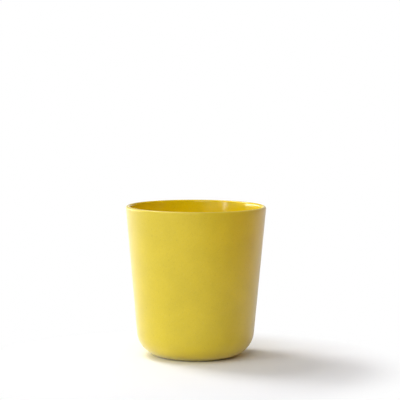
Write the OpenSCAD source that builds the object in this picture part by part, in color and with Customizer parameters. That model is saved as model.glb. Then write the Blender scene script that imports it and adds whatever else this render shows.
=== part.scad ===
// Bamboo fibre cup: a tapered tumbler pressed from bamboo fibre and resin, satin outside,
// with a second pressing of clear glossy resin glaze over the whole of the inside.
// Millimetres. The origin is on the table at the centre of the foot, with +Z up the cup's axis.

/* [Cup] */
// Outside diameter across the lip
rim_d = 80; // [74:1:100]
// Height from the table to the crest of the lip
cup_h = 86; // [60:1:110]
// Lean of the wall away from the vertical, in degrees
wall_taper = 5.15; // [3:0.05:6]
// Outside radius where the wall rounds into the base
corner_r = 14.7; // [10:0.1:16]

/* [Shell] */
// Thickness of the wall, with the glaze
wall_t = 2.3; // [1.8:0.1:3]
// Thickness of the floor over the foot ring, with the glaze
floor_t = 3; // [2:0.1:4]

/* [Glaze] */
// Thickness of the glaze
glaze_t = 0.25; // [0.1:0.05:0.5]

/* [Foot] */
// Width of the flat ring that the cup stands on
foot_w = 3.9; // [2:0.1:8]
// Depth of the hollow inside the foot ring
hollow_h = 0.6; // [0.2:0.1:1]

/* [Hidden] */
$fn = 180;

// Unit vector square to the wall, pointing out of the cup
wall_normal = [cos(wall_taper), -sin(wall_taper)];

// The lip is a full round, as thick as the wall
lip_r = wall_t / 2;
lip_centre = [rim_d / 2 - lip_r, cup_h - lip_r];

// Centre of the arc of radius r that touches the level z and the straight face of the wall.
// The face lies at the distance side from the lip's centre, counted out of the cup.
function corner_centre(side, z, r) = [
    lip_centre.x + (side - r - (z + r - lip_centre.y) * wall_normal.y) / wall_normal.x,
    z + r
];

// Inside radius of the corner, which keeps its thickness between the wall's and the floor's
inner_corner_r = corner_r - (wall_t + floor_t) / 2;

// Radius of the hollow at the table: the foot ring lies between it and the rounded corner
hollow_r = corner_centre(lip_r, 0, corner_r).x - foot_w;

// How far a straight face starts inside the arc that it runs into, so that the two cross cleanly
lap = 0.001;

// Drop below the table where the hollow's cutting shape starts
cut_below = 1;

// The half of a disc that faces away from the cup's axis.
module outer_half_disc(r) {
    intersection() {
        circle(r);
        translate([0, -2 * r]) square(4 * r);
    }
}

// Half section of a bowl: level bottom, round corner, straight face, and then the points in rim.
module bowl_section(side, z, r, rim) {
    centre = corner_centre(side, z, r);
    polygon(concat([[0, z], [centre.x, z], centre + (r - lap) * wall_normal], rim));
    translate(centre) outer_half_disc(r);
}

// Half section of the cup's whole outline, as if it were filled up to the lip.
module filled_section() {
    inner_end = lip_centre - 2 * lip_r * wall_normal;
    bowl_section(lip_r, 0, corner_r, [
        lip_centre + (lip_r - lap) * wall_normal,
        inner_end,
        [0, inner_end.y]
    ]);
    translate(lip_centre) circle(lip_r);
}

// Half section of all that lies inside the cup, down to the depth skin under its inner surface.
// It reaches over the inner half of the lip, as far as the crest.
module inside_section(skin) {
    above_lip = 2 * lip_r;
    difference() {
        bowl_section(skin - lip_r, floor_t - skin, inner_corner_r + skin, [
            lip_centre - (lip_r - skin - lap) * wall_normal,
            lip_centre,
            lip_centre + [0, above_lip],
            [0, lip_centre.y + above_lip]
        ]);
        translate(lip_centre) circle(lip_r - skin);
    }
}

// Half section of the shallow hollow that leaves a foot ring, with sides at 45 degrees.
module hollow_section() {
    polygon([
        [0, -cut_below],
        [hollow_r + cut_below, -cut_below],
        [hollow_r - hollow_h, hollow_h],
        [0, hollow_h]
    ]);
}

// The pressed shell: wall, rounded base, foot ring and the outer half of the lip.
module cup_body() {
    color("#DCC43E") rotate_extrude() difference() {
        filled_section();
        inside_section(glaze_t);
        hollow_section();
    }
}

// The glossy glaze, bonded to the shell from the floor up to the crest of the lip.
module inner_glaze() {
    color("#D2A81E") rotate_extrude() difference() {
        intersection() {
            filled_section();
            inside_section(glaze_t);
        }
        inside_section(0);
    }
}

cup_body();
inner_glaze();
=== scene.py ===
"""Bamboo fibre cup: the satin pressed shell, the glossy glaze inside it, and a white studio stage.

Every mesh is in metres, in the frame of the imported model, which the new pieces replace node for node.
"""

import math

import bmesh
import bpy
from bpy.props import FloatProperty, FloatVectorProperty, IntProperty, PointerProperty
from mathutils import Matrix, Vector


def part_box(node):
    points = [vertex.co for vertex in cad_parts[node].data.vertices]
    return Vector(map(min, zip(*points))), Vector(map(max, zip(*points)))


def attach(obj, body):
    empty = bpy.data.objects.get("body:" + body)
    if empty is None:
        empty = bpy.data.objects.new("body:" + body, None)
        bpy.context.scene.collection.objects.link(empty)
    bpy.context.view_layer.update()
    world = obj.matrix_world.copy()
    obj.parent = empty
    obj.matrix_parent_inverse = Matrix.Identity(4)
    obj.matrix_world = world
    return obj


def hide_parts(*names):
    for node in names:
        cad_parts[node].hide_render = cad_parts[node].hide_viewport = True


bl_info = {
    "name": "Bamboo Fibre Cup",
    "version": (1, 0, 0),
    "blender": (4, 5, 0),
    "location": "View3D > Sidebar > Cup",
    "description": "Builds a pressed bamboo fibre cup and its white studio stage around the packed model",
    "category": "Object",
}

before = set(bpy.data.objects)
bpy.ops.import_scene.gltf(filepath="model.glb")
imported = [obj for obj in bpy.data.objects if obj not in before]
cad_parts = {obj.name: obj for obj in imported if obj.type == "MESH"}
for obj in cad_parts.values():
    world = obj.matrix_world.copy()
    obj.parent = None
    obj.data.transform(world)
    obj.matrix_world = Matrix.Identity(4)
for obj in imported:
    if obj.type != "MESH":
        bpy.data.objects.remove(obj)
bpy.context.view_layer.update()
SHELL_LOW, SHELL_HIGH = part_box("cup_body")
GLAZE_LOW, GLAZE_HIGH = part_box("inner_glaze")

MM = 0.001
GLAZE_T = 0.25 * MM
SENSOR_WIDTH = 36
WHITE = (1, 1, 1, 1)


class CupSizes(bpy.types.PropertyGroup):
    """Real sizes of the cup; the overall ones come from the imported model."""

    rim_d: FloatProperty(
        name="Rim diameter", description="Outside diameter across the lip",
        default=SHELL_HIGH.x - SHELL_LOW.x, unit="LENGTH")
    cup_h: FloatProperty(
        name="Height", description="Height from the table to the crest of the lip",
        default=SHELL_HIGH.z, unit="LENGTH")
    wall_t: FloatProperty(
        name="Wall", description="Thickness of the wall, with the glaze",
        default=2 * (SHELL_HIGH.x - GLAZE_HIGH.x), unit="LENGTH")
    glaze_t: FloatProperty(
        name="Glaze", description="Thickness of the glaze",
        default=GLAZE_T, unit="LENGTH")
    floor_t: FloatProperty(
        name="Floor", description="Thickness of the floor over the foot ring, with the glaze",
        default=GLAZE_LOW.z + GLAZE_T, unit="LENGTH")
    taper: FloatProperty(
        name="Taper", description="Lean of the wall away from the vertical",
        default=math.radians(5.15), unit="ROTATION", subtype="ANGLE")
    corner_r: FloatProperty(
        name="Corner", description="Outside radius where the wall rounds into the base",
        default=14.7 * MM, unit="LENGTH")
    foot_w: FloatProperty(
        name="Foot ring", description="Width of the flat ring that the cup stands on",
        default=3.9 * MM, unit="LENGTH")
    hollow_h: FloatProperty(
        name="Hollow", description="Depth of the hollow inside the foot ring",
        default=0.6 * MM, unit="LENGTH")
    hollow_edge_r: FloatProperty(
        name="Hollow's edge", description="Radius that breaks the two edges of the hollow",
        default=0.2 * MM, unit="LENGTH")
    segments: IntProperty(
        name="Segments", description="Faces round the cup", default=256, min=32)


class CupColours(bpy.types.PropertyGroup):
    """Colours of the pressed fibre and of the stage, as linear values."""

    shell: FloatVectorProperty(
        name="Shell", description="Yellow of the satin outside",
        default=(0.776, 0.608, 0.023), subtype="COLOR", min=0, max=1)
    glaze: FloatVectorProperty(
        name="Glaze", description="Yellow under the gloss inside",
        default=(0.910, 0.680, 0.002), subtype="COLOR", min=0, max=1)
    pale_fibre: FloatVectorProperty(
        name="Pale fibres", description="Straw colour of the fibres that took less dye",
        default=(0.80, 0.68, 0.18), subtype="COLOR", min=0, max=1)
    dark_fibre: FloatVectorProperty(
        name="Dark fibres", description="Brown of the fibres from the bamboo's skin",
        default=(0.40, 0.27, 0.02), subtype="COLOR", min=0, max=1)
    seen_paper: FloatVectorProperty(
        name="Paper", description="Paper near the cup, lifted so that it shows white where it is lit",
        default=(0.995, 1.012, 1.045), subtype="COLOR", min=0, max=2)
    plain_paper: FloatVectorProperty(
        name="Paper's bounce", description="White of the paper in the light that it throws on the cup",
        default=(0.9, 0.9, 0.9), subtype="COLOR", min=0, max=1)
    dark_card: FloatVectorProperty(
        name="Front card", description="Black of the card that stands in front",
        default=(0.02, 0.02, 0.02), subtype="COLOR", min=0, max=1)
    warm_card: FloatVectorProperty(
        name="Right card", description="Orange of the card on the right, which warms the shaded side",
        default=(0.85, 0.33, 0.08), subtype="COLOR", min=0, max=1)
    warm_floor_card: FloatVectorProperty(
        name="Floor card", description="Orange of the card on the floor, which warms the shaded side",
        default=(0.90, 0.33, 0.05), subtype="COLOR", min=0, max=1)


class FinishSettings(bpy.types.PropertyGroup):
    """How much the fibres show, and how rough and uneven the two surfaces are."""

    fibre_strength: FloatProperty(
        name="Fibres", description="How strongly the fibres show in the colour",
        default=0.3, min=0, max=1, subtype="FACTOR")
    satin_low: FloatProperty(
        name="Satin, smoothest", description="Roughness of the outside where it is smoothest",
        default=0.33, min=0, max=1, subtype="FACTOR")
    satin_high: FloatProperty(
        name="Satin, roughest", description="Roughness of the outside where it is roughest",
        default=0.41, min=0, max=1, subtype="FACTOR")
    satin_relief: FloatProperty(
        name="Satin relief", description="Height of the grain and the fibres on the outside",
        default=0.008 * MM, unit="LENGTH")
    sheen: FloatProperty(
        name="Sheen", description="Soft shine of the outside, seen along the surface",
        default=0.5, min=0, max=1, subtype="FACTOR")
    sheen_roughness: FloatProperty(
        name="Sheen roughness", description="How far the sheen spreads",
        default=0.4, min=0, max=1, subtype="FACTOR")
    gloss_low: FloatProperty(
        name="Gloss, smoothest", description="Roughness of the inside where it is smoothest",
        default=0.14, min=0, max=1, subtype="FACTOR")
    gloss_high: FloatProperty(
        name="Gloss, roughest", description="Roughness of the inside where it is roughest",
        default=0.17, min=0, max=1, subtype="FACTOR")
    gloss_relief: FloatProperty(
        name="Gloss relief", description="Height of the ripple on the inside",
        default=0.02 * MM, unit="LENGTH")


class StageSettings(bpy.types.PropertyGroup):
    """The camera, the light, what glossy surfaces mirror, and the floor."""

    camera_distance: FloatProperty(
        name="Camera distance", description="From the middle of the cup to the camera",
        default=0.988, unit="LENGTH")
    camera_rise: FloatProperty(
        name="Camera rise", description="Angle of the camera above the middle of the cup",
        default=math.radians(7.805), unit="ROTATION", subtype="ANGLE")
    camera_pitch: FloatProperty(
        name="Camera pitch", description="How far the camera looks down",
        default=math.radians(5.131), unit="ROTATION", subtype="ANGLE")
    camera_yaw: FloatProperty(
        name="Camera yaw", description="How far the camera looks to the right of the cup's axis",
        default=math.radians(0.132), unit="ROTATION", subtype="ANGLE")
    camera_roll: FloatProperty(
        name="Camera roll", description="Tilt of the camera about its line of sight",
        default=math.radians(0.26), unit="ROTATION", subtype="ANGLE")
    lens: FloatProperty(
        name="Lens", description="Focal length in millimetres",
        default=155.0)
    lamp_distance: FloatProperty(
        name="Lamp distance", description="From the middle of the cup to each softbox",
        default=1.3, unit="LENGTH")
    ambient: FloatProperty(
        name="Ambient light", description="Level of the plain light from all round",
        default=0.268, min=0, max=1, subtype="FACTOR")
    ceiling: FloatProperty(
        name="Ceiling", description="Level of the ceiling that glossy surfaces mirror",
        default=0.15, min=0, max=1, subtype="FACTOR")
    card_level: FloatProperty(
        name="Cards", description="Level of the cards that glossy surfaces mirror",
        default=0.02, min=0, max=1, subtype="FACTOR")
    floor_side: FloatProperty(
        name="Floor", description="Side of the square floor",
        default=6.0, unit="LENGTH")
    fade_forward: FloatProperty(
        name="Fade, forward", description="How far in front of the cup's axis the floor's fade is centred",
        default=35 * MM, unit="LENGTH")
    fade_start: FloatProperty(
        name="Fade, start", description="Radius at which the floor starts to fade to plain white",
        default=85 * MM, unit="LENGTH")
    fade_end: FloatProperty(
        name="Fade, end", description="Radius at which the floor is plain white",
        default=125 * MM, unit="LENGTH")


def sizes():
    return bpy.context.scene.cup_sizes


def colours():
    return bpy.context.scene.cup_colours


def finishes():
    return bpy.context.scene.cup_finishes


def stage():
    return bpy.context.scene.cup_stage


def add_object(name, data):
    """A new object in the scene, for a mesh, a lamp or a camera."""
    thing = bpy.data.objects.new(name, data)
    bpy.context.scene.collection.objects.link(thing)
    return thing


def add_quad(name, corners, material):
    """A new flat object with four corners."""
    mesh = bpy.data.meshes.new(name)
    mesh.from_pydata(corners, [], [(0, 1, 2, 3)])
    mesh.materials.append(material)
    return add_object(name, mesh)


def arc(centre, radius, start, end, steps):
    """Points of an arc in the (radius, height) plane, from the angle start to end, both included."""
    angles = (start + (end - start) * i / steps for i in range(steps + 1))
    return [centre + radius * Vector((math.cos(a), math.sin(a))) for a in angles]


def line(start, end, steps):
    """Points from start to end, without the two ends."""
    return [start.lerp(end, i / steps) for i in range(1, steps)]


class Section:
    """The cup's half section, worked out from its sizes."""

    LIP_STEPS = 16
    CORNER_STEPS = 28
    WALL_STEPS = 40
    EDGE_STEPS = 4
    DISC_STEPS = 10

    def __init__(self, size):
        self.size = size
        self.normal = Vector((math.cos(size.taper), -math.sin(size.taper)))
        self.lip_r = size.wall_t / 2
        self.lip = Vector((size.rim_d / 2 - self.lip_r, size.cup_h - self.lip_r))
        self.inner_corner_r = size.corner_r - (size.wall_t + size.floor_t) / 2

    def corner(self, side, z, r):
        """Centre of the arc of radius r that touches the level z and the face at the distance side."""
        reach = side - r - (z + r - self.lip.y) * self.normal.y
        return Vector((self.lip.x + reach / self.normal.x, z + r))

    def outside(self):
        """From the edge of the foot ring up the outside to the crest of the lip."""
        size = self.size
        centre = self.corner(self.lip_r, 0, size.corner_r)
        base = arc(centre, size.corner_r, -math.pi / 2, -size.taper, self.CORNER_STEPS)
        lip = arc(self.lip, self.lip_r, -size.taper, math.pi / 2, self.LIP_STEPS)
        return base + line(base[-1], lip[0], self.WALL_STEPS) + lip

    def floor(self, skin):
        """From the axis over the floor to the inner corner, at the depth skin under the inner surface."""
        end = self.inside(skin)[0]
        middle = Vector((0, end.y))
        return [middle] + line(middle, end, self.DISC_STEPS) + [end]

    def inside(self, skin):
        """From the edge of the floor up the inside to the crest, at the depth skin under the surface."""
        size = self.size
        radius = self.inner_corner_r + skin
        centre = self.corner(skin - self.lip_r, size.floor_t - skin, radius)
        base = arc(centre, radius, -math.pi / 2, -size.taper, self.CORNER_STEPS)
        lip = arc(self.lip, self.lip_r - skin, math.pi - size.taper, math.pi / 2, self.LIP_STEPS)
        return base + line(base[-1], lip[0], self.WALL_STEPS) + lip

    def bond(self):
        """From the axis to the crest, along the face that the shell and the glaze share."""
        skin = self.size.glaze_t
        return self.floor(skin) + self.inside(skin)[1:]

    def underside(self):
        """From the axis over the hollow and its side, at 45 degrees, to the edge of the foot ring."""
        size = self.size
        edge_r = size.hollow_edge_r
        foot = Vector((self.corner(self.lip_r, 0, size.corner_r).x, 0))
        rim = foot - Vector((size.foot_w, 0))
        root = rim + Vector((-size.hollow_h, size.hollow_h))
        reach = edge_r * math.tan(math.pi / 8)
        upper = root + Vector((-reach, -edge_r))
        lower = rim + Vector((reach, edge_r))
        root_arc = arc(upper, edge_r, math.pi / 2, math.pi / 4, self.EDGE_STEPS)
        rim_arc = arc(lower, edge_r, -3 * math.pi / 4, -math.pi / 2, self.EDGE_STEPS)
        middle = Vector((0, root.y))
        ceiling = [middle] + line(middle, root_arc[0], self.DISC_STEPS)
        slope = root_arc + line(root_arc[-1], rim_arc[0], self.EDGE_STEPS) + rim_arc
        return ceiling + slope + line(rim_arc[-1], foot, self.EDGE_STEPS) + [foot]


class Sheet:
    """The square texture sheet that a piece's faces are laid out on, at about their real size.

    Faces that never show are laid out smaller.
    """

    UV_MAP = "OFBake"
    SIDE = 200 * MM
    MARGIN = 2 * MM
    DISC_R = 23 * MM
    HIDDEN_SCALE = 0.2


class Strip:
    """A run of faces round the cup, cut open at two sides, with the two halves one above the other."""

    def __init__(self, radius):
        self.half_length = math.pi * radius

    def place(self, turn, half, along, length):
        """Where a point lies on the sheet, from its share of the turn and its way along the run."""
        right = Sheet.MARGIN + self.half_length * (2 * turn - half)
        up = Sheet.MARGIN + half * (length + Sheet.MARGIN) + along
        return Vector((right, up)) / Sheet.SIDE


class Disc:
    """A run of faces from the axis outwards, laid flat to the right of the strip, in a row of its own."""

    def __init__(self, strip, row, scale=1.0):
        right = 2 * Sheet.MARGIN + strip.half_length + Sheet.DISC_R
        up = (row + 1) * Sheet.MARGIN + (2 * row + 1) * Sheet.DISC_R
        self.centre = Vector((right, up))
        self.scale = scale

    def place(self, turn, half, along, length):
        """Where a point lies on the sheet, from its share of the turn and its way along the run."""
        angle = 2 * math.pi * turn
        way = Vector((math.cos(angle), math.sin(angle)))
        return (self.centre + self.scale * along * way) / Sheet.SIDE


# Points of the section that agree to so many decimals of a metre share one ring of vertices.
POINT_DIGITS = 7
# Edges with a sharper fold than this aren't smoothed.
SHARP_ANGLE = math.radians(50)


def lathe(name, runs, segments):
    """A closed mesh, turned from runs of points that lead from the axis round the section and back to it.

    Each run has its points, its chart, and whether the points are listed backwards.
    """
    bm = bmesh.new()
    uv_layer = bm.loops.layers.uv.new(Sheet.UV_MAP)
    turns = [2 * math.pi * k / segments for k in range(segments)]
    rings = {}

    def ring(point):
        """The vertices round the cup at a point of the section; on the axis it is one, repeated."""
        key = tuple(round(value, POINT_DIGITS) for value in point)
        if key not in rings:
            if key[0] == 0:
                rings[key] = [bm.verts.new((0, 0, point.y))] * segments
            else:
                rings[key] = [
                    bm.verts.new((point.x * math.cos(a), point.x * math.sin(a), point.y)) for a in turns]
        return rings[key]

    for points, chart, backwards in runs:
        along = [0.0]
        for start, end in zip(points, points[1:]):
            along.append(along[-1] + (end - start).length)
        length = along[-1]
        for i in range(len(points) - 1):
            low, high = ring(points[i]), ring(points[i + 1])
            for k in range(segments):
                after = (k + 1) % segments
                half = 0 if 2 * k < segments else 1
                corners = [
                    (low[k], k, along[i]), (low[after], k + 1, along[i]),
                    (high[after], k + 1, along[i + 1]), (high[k], k, along[i + 1])]
                if low[k] is low[after]:
                    del corners[1]
                if backwards:
                    corners.reverse()
                face = bm.faces.new([corner[0] for corner in corners])
                for loop, (vert, step, reach) in zip(face.loops, corners):
                    loop[uv_layer].uv = chart.place(step / segments, half, reach, length)
    if not all(edge.is_manifold for edge in bm.edges):
        raise RuntimeError(f"the mesh of {name} isn't closed")
    mesh = bpy.data.meshes.new(name)
    bm.to_mesh(mesh)
    bm.free()
    mesh.shade_smooth()
    mesh.set_sharp_from_angle(angle=SHARP_ANGLE)
    return add_object(name, mesh)


class Nodes:
    """Adds nodes to a node tree and links their sockets."""

    NOISE_ROUGHNESS = 0.55

    def __init__(self, tree):
        self.tree = tree

    def add(self, kind, inputs=None, **settings):
        """A new node; an input that is a socket is linked, and any other one is set."""
        node = self.tree.nodes.new(kind)
        for name, value in settings.items():
            setattr(node, name, value)
        for socket, value in (inputs or {}).items():
            self.set(node.inputs[socket], value)
        return node

    def set(self, socket, value):
        """Links an input to another socket, or sets it to a value."""
        if isinstance(value, bpy.types.NodeSocket):
            self.tree.links.new(value, socket)
        else:
            socket.default_value = value

    def maths(self, operation, first, second):
        return self.add("ShaderNodeMath", {0: first, 1: second}, operation=operation).outputs[0]

    def ramp(self, value, low, high, start=0.0, end=1.0, smooth=False):
        """The value, turned from the range low to high into the range start to end."""
        inputs = {"Value": value, "From Min": low, "From Max": high, "To Min": start, "To Max": end}
        kind = "SMOOTHSTEP" if smooth else "LINEAR"
        return self.add("ShaderNodeMapRange", inputs, interpolation_type=kind).outputs["Result"]

    def mix(self, share, first, second, blend="MIX"):
        """A mix of two colours."""
        inputs = {0: share, 6: first, 7: second}
        node = self.add("ShaderNodeMix", inputs, data_type="RGBA", blend_type=blend)
        return node.outputs[2]

    def grey(self, level):
        inputs = {"Red": level, "Green": level, "Blue": level}
        return self.add("ShaderNodeCombineColor", inputs).outputs["Color"]

    def noise(self, place, size, detail):
        """Noise with features of about the given size in millimetres."""
        inputs = {
            "Vector": place, "Scale": 1 / size, "Detail": detail, "Roughness": self.NOISE_ROUGHNESS}
        return self.add("ShaderNodeTexNoise", inputs).outputs["Fac"]

    def bump(self, shader, height, relief):
        """Gives the shader's surface a height, which is in units of the relief."""
        inputs = {"Height": height, "Strength": 1.0, "Distance": relief}
        self.set(shader.inputs["Normal"], self.add("ShaderNodeBump", inputs).outputs["Normal"])

    def diffuse(self, colour):
        return self.add("ShaderNodeBsdfDiffuse", {"Color": (*colour, 1)}).outputs["BSDF"]

    def glow(self, level):
        """A white surface that shows at the given level in any light."""
        return self.add("ShaderNodeEmission", {"Color": WHITE, "Strength": level}).outputs["Emission"]

    def either(self, share, first, second):
        """A mix of two surfaces."""
        return self.add("ShaderNodeMixShader", {0: share, 1: first, 2: second}).outputs["Shader"]

    def show(self, surface):
        self.set(self.tree.nodes["Material Output"].inputs["Surface"], surface)


def new_material(name):
    """A new material, the helper for its nodes, and its Principled shader."""
    material = bpy.data.materials.new(name)
    material.use_nodes = True
    return material, Nodes(material.node_tree), material.node_tree.nodes["Principled BSDF"]


class FibrePattern:
    """Dyed fibres pressed in resin, in millimetres of the cup's own space.

    Each layer has the turn of its fibres about the three axes, their length and their width.
    """

    LAYERS = (
        ((0.4, 0.2, 1.1), 2.6, 0.46),
        ((1.3, 0.7, 0.1), 2.0, 0.38),
        ((0.2, 1.2, 2.3), 3.2, 0.52),
        ((2.0, 0.5, 0.9), 1.6, 0.32),
    )
    CLOUD_SIZE = 17
    CLOUD_RANGE = (0.3, 0.7)
    CLOUD_SHADES = (0.96, 1.04)
    GRAIN_SIZE = 0.55
    GRAIN_RANGE = (0.25, 0.75)
    GRAIN_SHADES = (0.975, 1.025)
    GRAIN_HEIGHT = 0.8
    FIBRE_EDGE = (0.26, 0.16)
    FIBRE_HEIGHT = 0.25
    DARK_SHARE = 0.45

    def __init__(self, nodes):
        self.nodes = nodes
        place = nodes.add("ShaderNodeTexCoord").outputs["Object"]
        inputs = {"Vector": place, "Scale": 1 / MM}
        self.place = nodes.add("ShaderNodeVectorMath", inputs, operation="SCALE").outputs["Vector"]
        self.cloud = nodes.noise(self.place, self.CLOUD_SIZE, detail=3)
        self.grain = nodes.noise(self.place, self.GRAIN_SIZE, detail=2)
        self.fibres = [self.layer(*layer) for layer in self.LAYERS]

    def layer(self, turn, length, width):
        """Where a layer's fibres show, and two random numbers for each of them."""
        nodes = self.nodes
        inputs = {"Vector": self.place, "Rotation": turn, "Scale": (length, width, width)}
        laid = nodes.add("ShaderNodeMapping", inputs, vector_type="TEXTURE").outputs["Vector"]
        cells = nodes.add("ShaderNodeTexVoronoi", {"Vector": laid, "Scale": 1.0})
        shown = nodes.ramp(cells.outputs["Distance"], *self.FIBRE_EDGE, smooth=True)
        chance = nodes.add("ShaderNodeSeparateColor", {"Color": cells.outputs["Color"]})
        return shown, chance.outputs["Red"], chance.outputs["Green"]

    def colour(self, base):
        """The base colour with soft clouds, fine grain and the fibres over it."""
        nodes = self.nodes
        pale = (*colours().pale_fibre, 1)
        dark = (*colours().dark_fibre, 1)
        cloud = nodes.ramp(self.cloud, *self.CLOUD_RANGE, *self.CLOUD_SHADES)
        grain = nodes.ramp(self.grain, *self.GRAIN_RANGE, *self.GRAIN_SHADES)
        tone = nodes.mix(1.0, (*base, 1), nodes.grey(nodes.maths("MULTIPLY", cloud, grain)), "MULTIPLY")
        for shown, pick, amount in self.fibres:
            kind = nodes.mix(nodes.maths("GREATER_THAN", pick, self.DARK_SHARE), dark, pale)
            strength = nodes.maths("MULTIPLY", amount, finishes().fibre_strength)
            tone = nodes.mix(nodes.maths("MULTIPLY", shown, strength), tone, kind)
        return tone

    def height(self):
        """Height of the pressed surface, where the grain and the fibres stand out a little."""
        nodes = self.nodes
        total = nodes.maths("MULTIPLY", self.grain, self.GRAIN_HEIGHT)
        for shown, pick, amount in self.fibres:
            total = nodes.maths("ADD", total, nodes.maths("MULTIPLY", shown, self.FIBRE_HEIGHT))
        return total


def satin_fibre():
    """The shell's own surface: dyed fibre in resin, as it comes out of a fine-blasted mould."""
    material, nodes, shader = new_material("satin_fibre")
    pattern = FibrePattern(nodes)
    look = finishes()
    nodes.set(shader.inputs["Base Color"], pattern.colour(colours().shell))
    roughness = nodes.ramp(pattern.grain, *pattern.GRAIN_RANGE, look.satin_low, look.satin_high)
    nodes.set(shader.inputs["Roughness"], roughness)
    shader.inputs["Sheen Weight"].default_value = look.sheen
    shader.inputs["Sheen Roughness"].default_value = look.sheen_roughness
    nodes.bump(shader, pattern.height(), look.satin_relief)
    return material


# The ripple's size in millimetres, the range of its noise, and the grain's share in the gloss's relief.
RIPPLE_SIZE = 5
RIPPLE_RANGE = (0.25, 0.75)
GRAIN_SHARE = 0.05


def gloss_glaze():
    """The same fibre under a coat of gloss resin, which evens it out and ripples a little."""
    material, nodes, shader = new_material("gloss_glaze")
    pattern = FibrePattern(nodes)
    look = finishes()
    nodes.set(shader.inputs["Base Color"], pattern.colour(colours().glaze))
    ripple = nodes.noise(pattern.place, RIPPLE_SIZE, detail=2)
    roughness = nodes.ramp(ripple, *RIPPLE_RANGE, look.gloss_low, look.gloss_high)
    nodes.set(shader.inputs["Roughness"], roughness)
    height = nodes.maths("ADD", ripple, nodes.maths("MULTIPLY", pattern.grain, GRAIN_SHARE))
    nodes.bump(shader, height, look.gloss_relief)
    return material


def fit_in(piece, material, node):
    """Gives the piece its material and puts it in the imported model's place."""
    piece.data.materials.append(material)
    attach(piece, "root")
    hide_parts(node)


class CUP_OT_shell(bpy.types.Operator):
    """Turn the pressed shell: wall, rounded base, foot ring and the outer half of the lip"""

    bl_idname = "cup.shell"
    bl_label = "Shell"
    bl_options = {"REGISTER", "UNDO"}

    def execute(self, context):
        size = sizes()
        section = Section(size)
        strip = Strip(size.rim_d / 2)
        bond = section.bond()
        shell = lathe("shell", [
            (section.underside(), Disc(strip, row=0), False),
            (section.outside() + bond[-1:], strip, False),
            (bond, Disc(strip, row=1, scale=Sheet.HIDDEN_SCALE), True),
        ], size.segments)
        fit_in(shell, satin_fibre(), "cup_body")
        return {"FINISHED"}


class CUP_OT_glaze(bpy.types.Operator):
    """Turn the glossy glaze that covers the inside up to the crest of the lip"""

    bl_idname = "cup.glaze"
    bl_label = "Glaze"
    bl_options = {"REGISTER", "UNDO"}

    def execute(self, context):
        size = sizes()
        section = Section(size)
        strip = Strip(size.rim_d / 2 - size.wall_t)
        bond = section.bond()
        glaze = lathe("glaze", [
            (bond, Disc(strip, row=1, scale=Sheet.HIDDEN_SCALE), False),
            (section.inside(0) + bond[-1:], strip, True),
            (section.floor(0), Disc(strip, row=0), True),
        ], size.segments)
        fit_in(glaze, gloss_glaze(), "inner_glaze")
        return {"FINISHED"}


def place_camera():
    """The camera stands in front, above the cup, and its line of sight passes just over the rim."""
    settings = stage()
    data = bpy.data.cameras.new("camera")
    data.lens = settings.lens
    data.sensor_width = SENSOR_WIDTH
    camera = add_object("camera", data)
    bpy.context.scene.camera = camera
    rise, pitch, yaw = settings.camera_rise, settings.camera_pitch, settings.camera_yaw
    away = settings.camera_distance
    eye = Vector((0, -away * math.cos(rise), sizes().cup_h / 2 + away * math.sin(rise)))
    turn = Matrix.Rotation(-yaw, 4, "Z") @ Matrix.Rotation(math.pi / 2 - pitch, 4, "X")
    camera.matrix_world = Matrix.Translation(eye) @ turn @ Matrix.Rotation(settings.camera_roll, 4, "Z")


def heading(azimuth, rise=0):
    """Unit vector that points away from the cup, at an azimuth and a rise in degrees.

    Azimuths are counted from the camera to the picture's left.
    """
    around, up = math.radians(azimuth), math.radians(rise)
    return Vector((-math.sin(around) * math.cos(up), -math.cos(around) * math.cos(up), math.sin(up)))


def softbox(name, azimuth, rise, width, height, power):
    """A soft lamp that faces the middle of the cup, with its power in watts."""
    data = bpy.data.lights.new(name, "AREA")
    data.shape = "RECTANGLE"
    data.size = width
    data.size_y = height
    data.energy = power
    lamp = add_object(name, data)
    way = heading(azimuth, rise)
    lamp.location = Vector((0, 0, sizes().cup_h / 2)) + stage().lamp_distance * way
    lamp.rotation_mode = "QUATERNION"
    lamp.rotation_quaternion = way.to_track_quat("Z", "Y")


def place_lamps():
    """The key casts the shadow, and the others light the walls and draw the highlights."""
    softbox("key", azimuth=126, rise=52.8, width=0.42, height=0.83, power=8.7)
    softbox("overhead", azimuth=34, rise=74.7, width=0.5, height=0.5, power=2.0)
    softbox("back", azimuth=150, rise=45, width=0.6, height=0.5, power=0.93)
    softbox("strip", azimuth=54, rise=18, width=0.16, height=1.0, power=3.4)
    softbox("soft", azimuth=11.1, rise=27, width=0.6, height=0.5, power=3.6)
    softbox("rim", azimuth=123, rise=5.9, width=1.05, height=0.12, power=6.4)


def seen_rays(nodes):
    """1 for a ray from the camera, off a glossy surface or through a clear one, and 0 for any other."""
    path = nodes.add("ShaderNodeLightPath")
    seen = nodes.maths("MAXIMUM", path.outputs["Is Camera Ray"], path.outputs["Is Glossy Ray"])
    return nodes.maths("MAXIMUM", seen, path.outputs["Is Transmission Ray"])


# How far a card that lies down is held off the floor.
CARD_LIFT = 1 * MM


def standing(azimuth, distance, width, height):
    """Corners of a card that stands on the floor and faces the cup."""
    middle = distance * heading(azimuth)
    aside = width / 2 * heading(azimuth - 90)
    up = Vector((0, 0, height))
    return [middle - aside, middle + aside, middle + aside + up, middle - aside + up]


def lying(azimuth, near, far, width):
    """Corners of a card that lies on the floor, from a near to a far distance."""
    away = heading(azimuth)
    aside = width / 2 * heading(azimuth - 90)
    up = Vector((0, 0, CARD_LIFT))
    near_edge, far_edge = near * away + up, far * away + up
    return [near_edge - aside, near_edge + aside, far_edge + aside, far_edge - aside]


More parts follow.
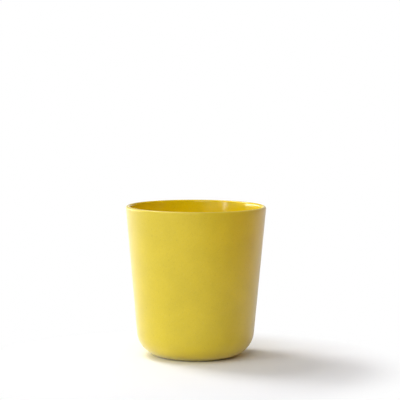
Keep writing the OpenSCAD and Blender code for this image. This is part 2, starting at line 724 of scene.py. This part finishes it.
def add_card(name, corners, colour, fade=0.01):
    """A card that the camera doesn't see: it is dark in reflections and throws light of its own colour.

    In reflections it fades to white over a share of its width, from its left end.
    """
    material, nodes, shader = new_material(name)
    shader.inputs["Base Color"].default_value = (*colour, 1)
    shader.inputs["Roughness"].default_value = 1.0
    place = nodes.add("ShaderNodeTexCoord").outputs["Generated"]
    across = nodes.add("ShaderNodeSeparateXYZ", {"Vector": place}).outputs["X"]
    level = nodes.ramp(across, 0.0, fade, 1.0, stage().card_level, smooth=True)
    nodes.show(nodes.either(seen_rays(nodes), shader.outputs["BSDF"], nodes.glow(level)))
    card = add_quad(name, corners, material)
    card.visible_camera = False


def place_cards():
    """Cards that darken what the satin mirrors in front and on the right, and warm the shaded side."""
    tint = colours()
    front = standing(azimuth=-18, distance=1.7, width=3.4, height=1.2)
    right = standing(azimuth=-98, distance=1.7, width=2.2, height=1.2)
    below = lying(azimuth=-52, near=0.2, far=0.9, width=1.0)
    add_card("front_flag", front, tint.dark_card, fade=0.3)
    add_card("right_flag", right, tint.warm_card)
    add_card("floor_card", below, tint.warm_floor_card)


# Where the white backdrop ends and the dim ceiling starts, as heights on a sphere of radius 1.
BACKDROP_TOP = 0.05
CEILING_EDGE = 0.3


def white_world():
    """White where it is seen, with a dim ceiling for glossy surfaces, and plain light elsewhere."""
    world = bpy.data.worlds.new("studio")
    world.use_nodes = True
    bpy.context.scene.world = world
    nodes = Nodes(world.node_tree)
    background = world.node_tree.nodes["Background"]
    way = nodes.add("ShaderNodeTexCoord").outputs["Generated"]
    height = nodes.add("ShaderNodeSeparateXYZ", {"Vector": way}).outputs["Z"]
    ceiling = nodes.ramp(height, BACKDROP_TOP, CEILING_EDGE, 1.0, stage().ceiling, smooth=True)
    glossy = nodes.add("ShaderNodeLightPath").outputs["Is Glossy Ray"]
    white = nodes.mix(glossy, WHITE, nodes.grey(ceiling))
    level = stage().ambient
    colour = nodes.mix(seen_rays(nodes), (level, level, level, 1), white)
    nodes.set(background.inputs["Color"], colour)


def white_paper():
    """White paper that keeps the cup's shadow near it and fades to plain white farther off."""
    material, nodes, shader = new_material("white_paper")
    nodes.tree.nodes.remove(shader)
    settings = stage()
    place = nodes.add("ShaderNodeTexCoord").outputs["Object"]
    inputs = {0: place, 1: (0, -settings.fade_forward, 0)}
    reach = nodes.add("ShaderNodeVectorMath", inputs, operation="DISTANCE").outputs["Value"]
    far = nodes.ramp(reach, settings.fade_start, settings.fade_end, smooth=True)
    shown = nodes.either(far, nodes.diffuse(colours().seen_paper), nodes.glow(1.0))
    nodes.show(nodes.either(seen_rays(nodes), nodes.diffuse(colours().plain_paper), shown))
    return material


def lay_floor():
    """The square of white paper that the cup stands on."""
    half = stage().floor_side / 2
    corners = [(-half, -half, 0), (half, -half, 0), (half, half, 0), (-half, half, 0)]
    floor = add_quad("floor", corners, white_paper())


class CUP_OT_stage(bpy.types.Operator):
    """Set up the camera, the lamps, the cards, the white backdrop and the floor"""

    bl_idname = "cup.stage"
    bl_label = "Stage"
    bl_options = {"REGISTER", "UNDO"}

    def execute(self, context):
        context.scene.view_settings.view_transform = "Standard"
        place_camera()
        place_lamps()
        place_cards()
        white_world()
        lay_floor()
        return {"FINISHED"}


class CUP_PT_panel(bpy.types.Panel):
    """Lists the cup's sizes, its colours and finishes, the stage, and what builds them"""

    bl_idname = "CUP_PT_panel"
    bl_label = "Bamboo Fibre Cup"
    bl_space_type = "VIEW_3D"
    bl_region_type = "UI"
    bl_category = "Cup"

    def draw(self, context):
        for name, group in GROUPS.items():
            box = self.layout.box()
            for setting in group.__annotations__:
                box.prop(getattr(context.scene, name), setting)
        for operator in OPERATORS:
            self.layout.operator(operator.bl_idname)


GROUPS = {
    "cup_sizes": CupSizes,
    "cup_colours": CupColours,
    "cup_finishes": FinishSettings,
    "cup_stage": StageSettings,
}
OPERATORS = [CUP_OT_shell, CUP_OT_glaze, CUP_OT_stage]
CLASSES = [*GROUPS.values(), *OPERATORS, CUP_PT_panel]


def register():
    for cls in CLASSES:
        bpy.utils.register_class(cls)
    for name, group in GROUPS.items():
        setattr(bpy.types.Scene, name, PointerProperty(type=group))


def unregister():
    for name in GROUPS:
        delattr(bpy.types.Scene, name)
    for cls in reversed(CLASSES):
        bpy.utils.unregister_class(cls)


def main():
    register()
    bpy.ops.cup.shell()
    bpy.ops.cup.glaze()
    bpy.ops.cup.stage()


if __name__ == "__main__":
    main()
